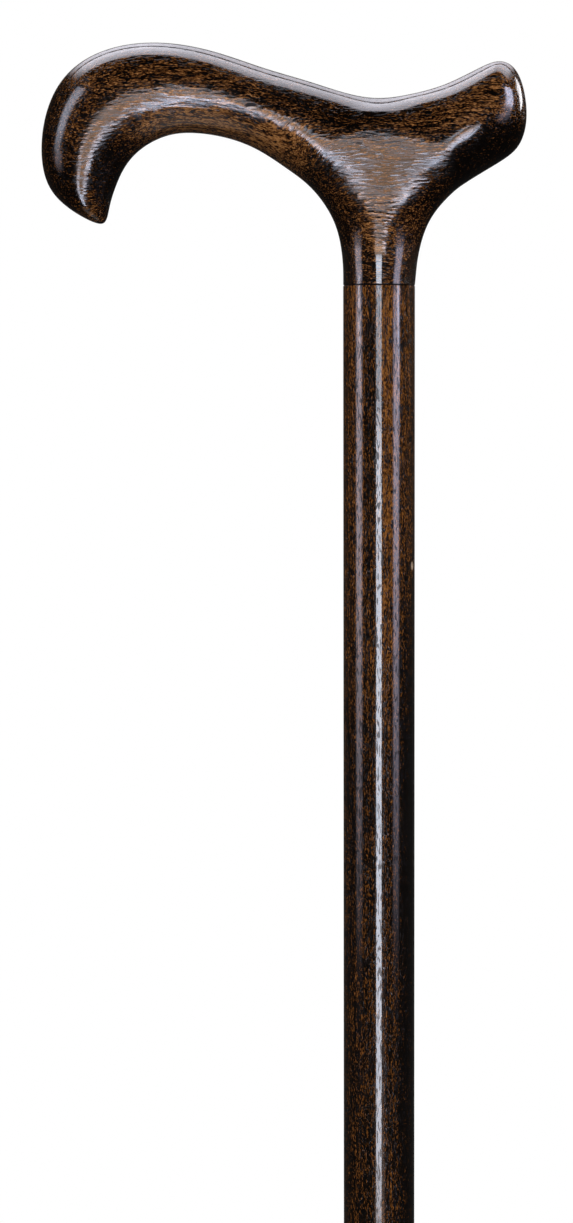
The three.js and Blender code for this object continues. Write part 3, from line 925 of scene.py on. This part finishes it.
ferruleShape = {
    "sides": 96,
    "floor": 9.5 * mm,
    "socketGap": 0.3 * mm,
    "collarWall": 3.4 * mm,
    "ribCount": 4,
    "ribHeight": 3 * mm,
    "ribDepth": 0.7 * mm,
    "lipBand": 2.5 * mm,
    "lipRound": 1 * mm,
    "treadRadius": 19 * mm,
    "treadSide": 6 * mm,
    "treadRound": 1.2 * mm,
    "waist": 17 * mm,
    "bellSteps": 12,
    "centreLand": 4 * mm,
    "grooveWidth": 2 * mm,
    "landWidth": 3 * mm,
    "grooveDepth": 1.5 * mm,
    "edgeRound": 0.2 * mm,
    "sharpAngle": 35,
}


def collarRadiusAt(height):
    return shaftRadiusAt(height) + ferruleShape["socketGap"] + ferruleShape["collarWall"]


def ferruleProfile():
    shape = ferruleShape
    top = ferruleHigh[2]
    ground = ferruleLow[2]
    profile = []
    radius = shape["centreLand"]
    while radius + shape["grooveWidth"] < shape["treadRadius"] - shape["treadRound"]:
        outer = radius + shape["grooveWidth"]
        deep = ground + shape["grooveDepth"]
        profile += [(radius, ground), (radius, deep), (outer, deep), (outer, ground)]
        radius = outer + shape["landWidth"]
    edge = shape["treadRadius"] - shape["treadRound"]
    profile += roundSteps(edge, ground + shape["treadRound"], shape["treadRound"], -90, 0)
    inwards = shape["treadRadius"] - collarRadiusAt(shape["waist"])
    upwards = shape["waist"] - shape["treadSide"]
    for step in range(shape["bellSteps"] + 1):
        turn = pi / 2 * step / shape["bellSteps"]
        profile.append((shape["treadRadius"] - inwards * sin(turn), shape["waist"] - upwards * cos(turn)))
    ribTop = top - shape["lipBand"] - shape["lipRound"]
    pitch = (ribTop - shape["waist"]) / shape["ribCount"]
    for rib in range(shape["ribCount"]):
        base = shape["waist"] + rib * pitch
        ribBase = base + pitch - shape["ribHeight"]
        bevel = shape["ribDepth"] / 2
        profile += [
            (collarRadiusAt(ribBase), ribBase),
            (collarRadiusAt(ribBase) + shape["ribDepth"], ribBase + bevel),
            (collarRadiusAt(base + pitch) + shape["ribDepth"], base + pitch - bevel),
            (collarRadiusAt(base + pitch), base + pitch),
        ]
    lip = collarRadiusAt(top) - shape["lipRound"]
    profile += roundSteps(lip, top - shape["lipRound"], shape["lipRound"], 0, 90)
    profile += [
        (shaftRadiusAt(top) + shape["socketGap"] + shape["lipRound"] / 2, top),
        (shaftRadiusAt(top) + shape["socketGap"], top - shape["lipRound"] / 2),
        (shaftRadiusAt(shaftLow[2]) + shape["socketGap"], shape["floor"]),
    ]
    return profile


def buildFerrule(material):
    ferrule = stackRings(ferruleProfile(), ferruleShape["sides"])
    roundEdges(ferrule, ferruleShape["edgeRound"], ferruleShape["sharpAngle"])
    shadeSmooth(ferrule, ferruleShape["sharpAngle"])
    dress(ferrule, "ferrule_moulded", material, "rubber_ferrule", "ferrule")


# Washer on the ferrule's floor

washerShape = {
    "radius": 9.4 * mm,
    "holeRadius": 3.2 * mm,
    "chamfer": 0.3 * mm,
    "sides": 64,
    "sharpAngle": 30,
    "smoothAngle": 35,
}


def buildWasher(material):
    low, high = washerLow[2], washerHigh[2]
    bpy.ops.mesh.primitive_cylinder_add(
        vertices=washerShape["sides"], radius=washerShape["radius"], depth=high - low,
        location=(0, 0, (low + high) / 2))
    bpy.ops.object.transform_apply(location=True)
    washer = bpy.context.object
    editMesh(washer)
    selectFaces(washer, lambda face: abs(face.normal.z) > facing)
    bpy.ops.mesh.inset(thickness=washerShape["radius"] - washerShape["holeRadius"])
    bpy.ops.mesh.bridge_edge_loops()
    closeMesh()
    roundEdges(washer, washerShape["chamfer"], washerShape["sharpAngle"])
    shadeSmooth(washer, washerShape["smoothAngle"])
    dress(washer, "washer_pressed", material, "ferrule_washer", "ferrule")


# Finishes

handleWood = {  # places and sizes in millimetres, heights counted from the seam
    "turn": (0, 0, 0),
    "fineness": 1,
    "dark": (0.0013, 0.0006, 0.0003, 1),
    "middle": (0.077, 0.028, 0.007, 1),
    "light": (0.32, 0.142, 0.048, 1),
    "tone": -0.045,
    "patches": [
        {"at": (-94, 0, 42), "size": (11, 60, 24), "tone": -0.18},  # nose's front
        {"at": (-88, 0, 24), "size": (12, 60, 12), "tone": -0.26},  # under the nose
        {"at": (-81, 0, 21), "size": (5, 60, 8), "core": 0.4, "tone": 0.18},
        {"at": (-75, 0, 31), "size": (7, 60, 17), "tone": -0.36},  # inside the hook
        {"at": (-72, 0, 57), "size": (22, 60, 8), "tone": 0.04},  # top of the nose
        {"at": (-58, 0, 71), "size": (42, 60, 8), "core": 0.5, "tone": -0.35},
        {"at": (-14, 0, 49), "size": (40, 60, 10), "tone": -0.18},  # towards the saddle
        {"at": (-44, 0, 44), "size": (32, 60, 10), "core": 0.5, "tone": 0.32},  # under the arch
        {"at": (-25, 0, 38), "size": (14, 60, 11), "tone": 0.24},
        {"at": (-60, 0, 52), "size": (28, 60, 8), "core": 0.3, "tone": 0.13},  # over the arch
        {"at": (-17, 0, 26), "size": (8, 60, 15), "tone": -0.14},
        {"at": (0, 0, 33), "size": (20, 60, 14), "core": 0.5, "tone": -0.1},  # over the neck
        {"at": (0, 0, 17), "size": (7, 60, 11), "core": 0.4, "tone": 0.3},
        {"at": (32, 0, 53), "size": (12, 60, 10), "tone": 0.2},  # top of the tail
        {"at": (18, 0, 47), "size": (20, 60, 8), "core": 0.4, "tone": 0.1},  # right of the saddle
        {"at": (34, 0, 35), "size": (20, 60, 13), "core": 0.5, "tone": -0.5},  # under the tail
        {"at": (21, 0, 18), "size": (12, 60, 18), "core": 0.4, "tone": -0.36},
        {"at": (-12, 0, 9), "size": (6, 60, 18), "tone": -0.3},
        {"at": (11, 0, 5), "size": (4, 60, 12), "tone": -0.22},
        {"at": (0, 0, 0), "size": (60, 60, 8), "tone": -0.08},  # above the seam
    ],
    "arch": {"centre": (-50, 0, 0), "radius": 45, "fade": 10, "from": -68, "to": -8, "endFade": 30},
    "marks": [  # a small healed knot: a dark slit, and under it a raised lip whose pale colour is a painted highlight
        {"at": (-35.7, -13, 49.8), "size": (2.5, 6, 0.75), "core": 0.5, "bow": 0.05,
         "colour": (0.001, 0.0005, 0.0003, 1), "depth": 0.05, "roughness": 0.9},
        # the lip: raised a little, and painted pale as a highlight on it
        {"at": (-35.6, -13, 49.05), "size": (2.3, 6, 0.35), "core": 0.4, "bow": 0.05,
         "colour": (0.3, 0.24, 0.22, 1), "depth": -0.03, "roughness": 0.2},
    ],
    "openSpots": [  # where the fibres stand out most through the lacquer
        {"at": (1, 0, 33), "size": (26, 60, 13), "core": 0.7},
        {"at": (0, 0, 20), "size": (10, 60, 13), "core": 0.4},
        {"at": (-46, 0, 52), "size": (48, 60, 9), "core": 0.55, "bow": 0.009},
        {"at": (-73, 0, 37), "size": (14.5, 60, 27), "core": 0.7},
    ],
    "seamDark": 0.16,
    "seamBlend": 0.12,
    "valleyTone": 0.3,
    "fineHeight": 0.012,
    "fibreHeight": 0.15,  # in the open spots
    "poreDepth": 0.012,
    "poreDullness": 0.3,
    "roughness": 0.09,
    "dullRoughness": 0.2,
    "ior": 1.38,
    "coat": 0.75,
    "coatEnds": 11.5,  # above this height there is no clear coat
    "coatFull": 9.5,
    "coatRoughness": 0.05,
    "coatIor": 1.6,
}

shaftWood = {
    "turn": (0, 90, 0),
    "fineness": 1.15,
    "dark": (0.0013, 0.0006, 0.0003, 1),
    "middle": (0.09, 0.031, 0.005, 1),
    "light": (0.28, 0.102, 0.019, 1),
    "tone": -0.02,
    "patches": [
        {"at": (-2.6, -10, -40), "size": (2.6, 5, 55), "tone": -0.2},  # dark stripe left of the middle
        {"at": (2.4, -10, -50), "size": (2.6, 5, 120), "core": 0.4, "tone": 0.2},
        {"at": (13, 0, -270), "size": (9, 60, 205), "core": 0.6, "square": True, "tone": -0.32},
        {"at": (-9, -5, -100), "size": (3, 7, 60), "tone": -0.06},
        {"at": (12, 0, -130), "size": (7, 60, 60), "core": 0.5, "square": True, "tone": -0.2},
        {"at": (0, 0, -210), "size": (60, 60, 125), "core": 0.5, "tone": -0.2},
        {"at": (0, 0, -1), "size": (60, 60, 14), "tone": 0.08},
    ],
    "marks": [  # a nick in the lacquer
        {"at": (9.2, -4, -78.3), "size": (0.5, 2.5, 1.6), "core": 0.4,
         "colour": (0.3, 0.2, 0.12, 1), "depth": 0.05, "roughness": 0.5},
    ],
    "wornSpots": [  # where the lacquer shines less
        {"at": (-0.3, -10, -21), "size": (4, 6, 26), "share": 0.65},
    ],
    "seamDark": 0.2,
    "seamBlend": 0.12,
    "valleyTone": 0.24,
    "fineHeight": 0.012,
    "poreDepth": 0.02,
    "poreDullness": 0.9,
    "roughness": 0.1,
    "dullRoughness": 0.2,
    "ior": 1.38,
    "coat": 0.75,
    "coatEnds": 2,
    "coatFull": 1,
    "coatRoughness": 0.05,
    "coatIor": 1.6,
}

rubber = {  # sizes in millimetres
    "colour": (0.016, 0.016, 0.017, 1),
    "dust": (0.05, 0.047, 0.042, 1),
    "dustSize": 9,
    "dustEdge": (0.5, 0.8),
    "pebbleSize": 0.35,
    "pebbleDepth": 0.02,
    "mouldLineWidth": 0.35,
    "mouldLineHeight": 0.12,
    "roughLow": 0.55,
    "roughHigh": 0.85,
}

steel = {
    "bright": (0.62, 0.62, 0.6, 1),
    "dull": (0.42, 0.42, 0.41, 1),
    "wearSize": 4,
    "wearEdge": (0.35, 0.7),
    "brushSize": (0.2, 0.2, 3),
    "brushDetail": 2,
    "brushBase": 0.5,  # added to the brush marks before the wear scales them
    "roughLow": 0.22,
    "roughHigh": 0.42,
}

cloud = {"detail": 3, "roughness": 0.6}  # of the noise for dust and wear


def placeInMillimetres(tree):
    where = addNode(tree, "ShaderNodeTexCoord")
    return combineVectors(tree, "MULTIPLY", where.outputs["Object"], [1 / mm] * 3)


def cloudNoise(tree, place, size):
    return noise(tree, place, size, cloud["detail"], cloud["roughness"]).outputs["Fac"]


def rubberMaterial():
    material, tree, shader = startMaterial("ferruleRubber")
    place = placeInMillimetres(tree)
    dust = cloudNoise(tree, place, [rubber["dustSize"]] * 3)
    dusty = blendRange(tree, dust, *rubber["dustEdge"])
    tree.links.new(mixColours(tree, dusty, rubber["colour"], rubber["dust"]), shader.inputs["Base Color"])
    tree.links.new(spread(tree, dust, rubber["roughLow"], rubber["roughHigh"]), shader.inputs["Roughness"])
    pebble = noise(tree, place, [rubber["pebbleSize"]] * 3).outputs["Fac"]
    side = combine(tree, "ABSOLUTE", splitPlace(tree, place)[0])
    line = blendRange(tree, side, rubber["mouldLineWidth"], rubber["mouldLineWidth"] / 2)
    pebble = combine(tree, "MULTIPLY", pebble, rubber["pebbleDepth"] * mm)
    line = combine(tree, "MULTIPLY", line, rubber["mouldLineHeight"] * mm)
    addBump(tree, shader, combine(tree, "ADD", pebble, line))
    return material


def steelMaterial(name):
    material, tree, shader = startMaterial(name)
    place = placeInMillimetres(tree)
    wear = cloudNoise(tree, place, [steel["wearSize"]] * 3)
    brush = noise(tree, place, steel["brushSize"], steel["brushDetail"], cloud["roughness"]).outputs["Fac"]
    worn = blendRange(tree, wear, *steel["wearEdge"])
    tree.links.new(mixColours(tree, worn, steel["bright"], steel["dull"]), shader.inputs["Base Color"])
    shader.inputs["Metallic"].default_value = 1
    marks = combine(tree, "MULTIPLY", wear, combine(tree, "ADD", brush, steel["brushBase"]))
    tree.links.new(spread(tree, marks, steel["roughLow"], steel["roughHigh"]), shader.inputs["Roughness"])
    return material


addCamera()
for lampName, lamp in studio.items():
    addLamp(lampName, lamp)
addRoom()
woodGrain = buildWoodGrain()
buildHandle(woodMaterial("handleWood", handleWood, woodGrain))
buildShaft(woodMaterial("shaftWood", shaftWood, woodGrain))
buildStud(steelMaterial("studZinc"))
buildFerrule(rubberMaterial())
buildWasher(steelMaterial("washerZinc"))

bpy.context.scene.view_settings.view_transform = "Standard"
